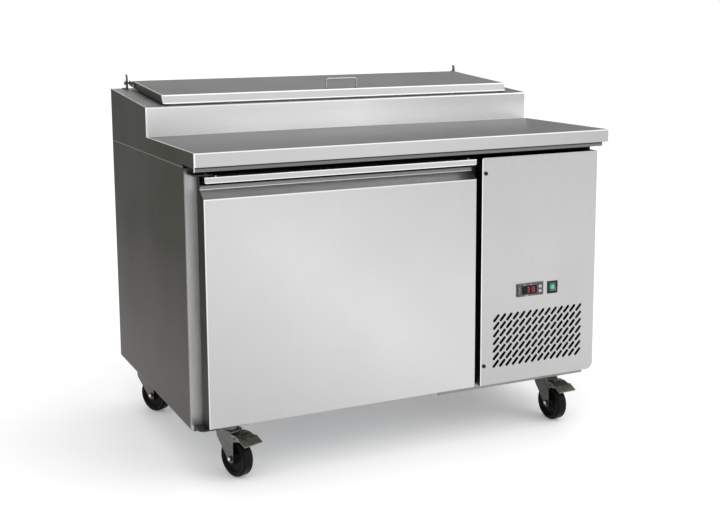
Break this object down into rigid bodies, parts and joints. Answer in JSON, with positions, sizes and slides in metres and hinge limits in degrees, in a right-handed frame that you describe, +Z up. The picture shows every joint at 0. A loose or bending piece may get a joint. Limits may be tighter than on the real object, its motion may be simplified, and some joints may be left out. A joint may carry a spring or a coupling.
{
  "type": "sandwich prep table",
  "caption": "Refrigerated stainless sandwich prep table: hinged pan lid over a raised well, worktop, side-hinged door, side machine compartment with slotted grille, swivel casters.",
  "frame": {"origin": "on the floor under the middle of the plan outline", "axes": "+X along the width, towards the machine compartment seen from the front; +Y from the operator's side to the back; +Z up"},
  "size_m": [1.2, 0.8, 0.998],
  "materials": {
    "stainless_side": "satin",
    "stainless_face": "satin",
    "stainless_top": "satin",
    "stainless_inner": "satin",
    "galvanised": "satin",
    "foam": "matte",
    "black_plastic": "matte",
    "grey_plastic": "satin",
    "light_plastic": "satin",
    "white_plastic": "gloss",
    "gasket_rubber": "matte",
    "display_lens": "gloss",
    "green_rocker": "gloss",
    "zinc": "satin",
    "pedal_steel": "satin",
    "wheel_rubber": "matte",
    "copper": "satin",
    "coil_fins": "satin",
    "black_enamel": "gloss",
    "black_steel": "satin"
  },
  "bodies": {
    "cabinet": {"left_side_panel": "stainless_side", "right_side_panel": "stainless_side", "back_panel": "galvanised", "base_pan": "galvanised", "machine_tray": "stainless_face", "cabinet_insulation": "foam", "inner_liner": "stainless_inner", "front_frame": "stainless_face", "mullion_cover": "black_plastic", "worktop_skin": "stainless_top", "top_insulation": "foam", "well_liner": "stainless_inner", "drip_rail": "stainless_face", "pan_divider_bars": "stainless_inner", "food_pans": "stainless_inner", "lid_brackets": "zinc", "evaporator_housing": "white_plastic", "evaporator_coil": "coil_fins", "shelf_supports": "stainless_inner", "wire_shelf": "white_plastic", "compressor": "black_enamel", "condenser_coil": "coil_fins", "condenser_shroud": "galvanised", "condenser_fan_motor": "black_enamel", "refrigerant_pipes": "copper", "control_box": "grey_plastic", "service_panel": "stainless_face", "panel_screws": "black_steel", "controller_body": "grey_plastic", "controller_window": "display_lens", "switch_housing": "black_plastic", "rear_vent_panel": "galvanised", "cord_gland": "black_plastic", "door_hinge_brackets": "black_steel", "caster_plates": "zinc"},
    "door": {"door_skin": "stainless_face", "door_core": "foam", "door_liner": "white_plastic", "door_gasket": "gasket_rubber", "door_handle_rail": "stainless_face", "door_hinge_pins": "zinc"},
    "lid": {"lid_shell": "stainless_top", "lid_insulation": "foam", "lid_handle": "zinc", "lid_pivot_arms": "zinc"},
    "condenser_fan": {"condenser_fan": "grey_plastic"},
    "evaporator_fan": {"evaporator_fan": "black_plastic"},
    "switch_rocker": {"switch_rocker": "green_rocker"},
    "lower_key": {"lower_key": "light_plastic"},
    "upper_key": {"upper_key": "light_plastic"},
    "caster_fork_front_left": {"caster_fork_front_left": "zinc"},
    "caster_wheel_front_left": {"caster_wheel_front_left": "wheel_rubber"},
    "brake_pedal_front_left": {"brake_pedal_front_left": "pedal_steel"},
    "caster_fork_front_right": {"caster_fork_front_right": "zinc"},
    "caster_wheel_front_right": {"caster_wheel_front_right": "wheel_rubber"},
    "brake_pedal_front_right": {"brake_pedal_front_right": "pedal_steel"},
    "caster_fork_rear_left": {"caster_fork_rear_left": "zinc"},
    "caster_wheel_rear_left": {"caster_wheel_rear_left": "wheel_rubber"},
    "caster_fork_rear_right": {"caster_fork_rear_right": "zinc"},
    "caster_wheel_rear_right": {"caster_wheel_rear_right": "wheel_rubber"}
  },
  "joints": [
    {"name": "door_hinge", "type": "hinge", "parent": "cabinet", "child": "door", "pos_m": [-0.554, -0.347, 0.47], "axis": [0, 0, -1], "range_deg": [0, 105], "stiffness_Nm_per_rad": 1.5},
    {"name": "lid_hinge", "type": "hinge", "parent": "cabinet", "child": "lid", "pos_m": [0, 0.385, 0.972], "axis": [-1, 0, 0], "range_deg": [0, 95]},
    {"name": "condenser_fan_spin", "type": "hinge", "parent": "cabinet", "child": "condenser_fan", "pos_m": [0.382, -0.24, 0.285], "axis": [0, 1, 0], "continuous": true},
    {"name": "evaporator_fan_spin", "type": "hinge", "parent": "cabinet", "child": "evaporator_fan", "pos_m": [0.09, 0.02, 0.66], "axis": [1, 0, 0], "continuous": true},
    {"name": "switch_rock", "type": "hinge", "parent": "cabinet", "child": "switch_rocker", "pos_m": [0.4385, -0.366, 0.4105], "axis": [1, 0, 0], "range_deg": [0, 14]},
    {"name": "lower_key_press", "type": "slide", "parent": "cabinet", "child": "lower_key", "axis": [0, 1, 0], "range_m": [0, 0.0005], "stiffness_N_per_m": 300},
    {"name": "upper_key_press", "type": "slide", "parent": "cabinet", "child": "upper_key", "axis": [0, 1, 0], "range_m": [0, 0.0005], "stiffness_N_per_m": 300},
    {"name": "swivel_front_left", "type": "hinge", "parent": "cabinet", "child": "caster_fork_front_left", "pos_m": [-0.489, -0.275, 0.12], "axis": [0, 0, 1], "continuous": true},
    {"name": "wheel_spin_front_left", "type": "hinge", "parent": "caster_fork_front_left", "child": "caster_wheel_front_left", "pos_m": [-0.47761, -0.30809, 0.05], "axis": [0.9455, 0.3256, 0], "continuous": true},
    {"name": "brake_front_left", "type": "hinge", "parent": "caster_fork_front_left", "child": "brake_pedal_front_left", "pos_m": [-0.47142, -0.32606, 0.108], "axis": [0.9455, 0.3256, 0], "range_deg": [0, 10]},
    {"name": "swivel_front_right", "type": "hinge", "parent": "cabinet", "child": "caster_fork_front_right", "pos_m": [0.489, -0.273, 0.12], "axis": [0, 0, 1], "continuous": true},
    {"name": "wheel_spin_front_right", "type": "hinge", "parent": "caster_fork_front_right", "child": "caster_wheel_front_right", "pos_m": [0.49083, -0.30795, 0.05], "axis": [0.9986, 0.0523, 0], "continuous": true},
    {"name": "brake_front_right", "type": "hinge", "parent": "caster_fork_front_right", "child": "brake_pedal_front_right", "pos_m": [0.49183, -0.32693, 0.108], "axis": [0.9986, 0.0523, 0], "range_deg": [0, 10]},
    {"name": "swivel_rear_left", "type": "hinge", "parent": "cabinet", "child": "caster_fork_rear_left", "pos_m": [-0.545, 0.3, 0.12], "axis": [0, 0, 1], "continuous": true},
    {"name": "wheel_spin_rear_left", "type": "hinge", "parent": "caster_fork_rear_left", "child": "caster_wheel_rear_left", "pos_m": [-0.52857, 0.2691, 0.05], "axis": [0.8829, 0.4695, 0], "continuous": true},
    {"name": "swivel_rear_right", "type": "hinge", "parent": "cabinet", "child": "caster_fork_rear_right", "pos_m": [0.545, 0.3, 0.12], "axis": [0, 0, 1], "continuous": true},
    {"name": "wheel_spin_rear_right", "type": "hinge", "parent": "caster_fork_rear_right", "child": "caster_wheel_rear_right", "pos_m": [0.53772, 0.26576, 0.05], "axis": [0.9781, -0.2079, 0], "continuous": true}
  ]
}
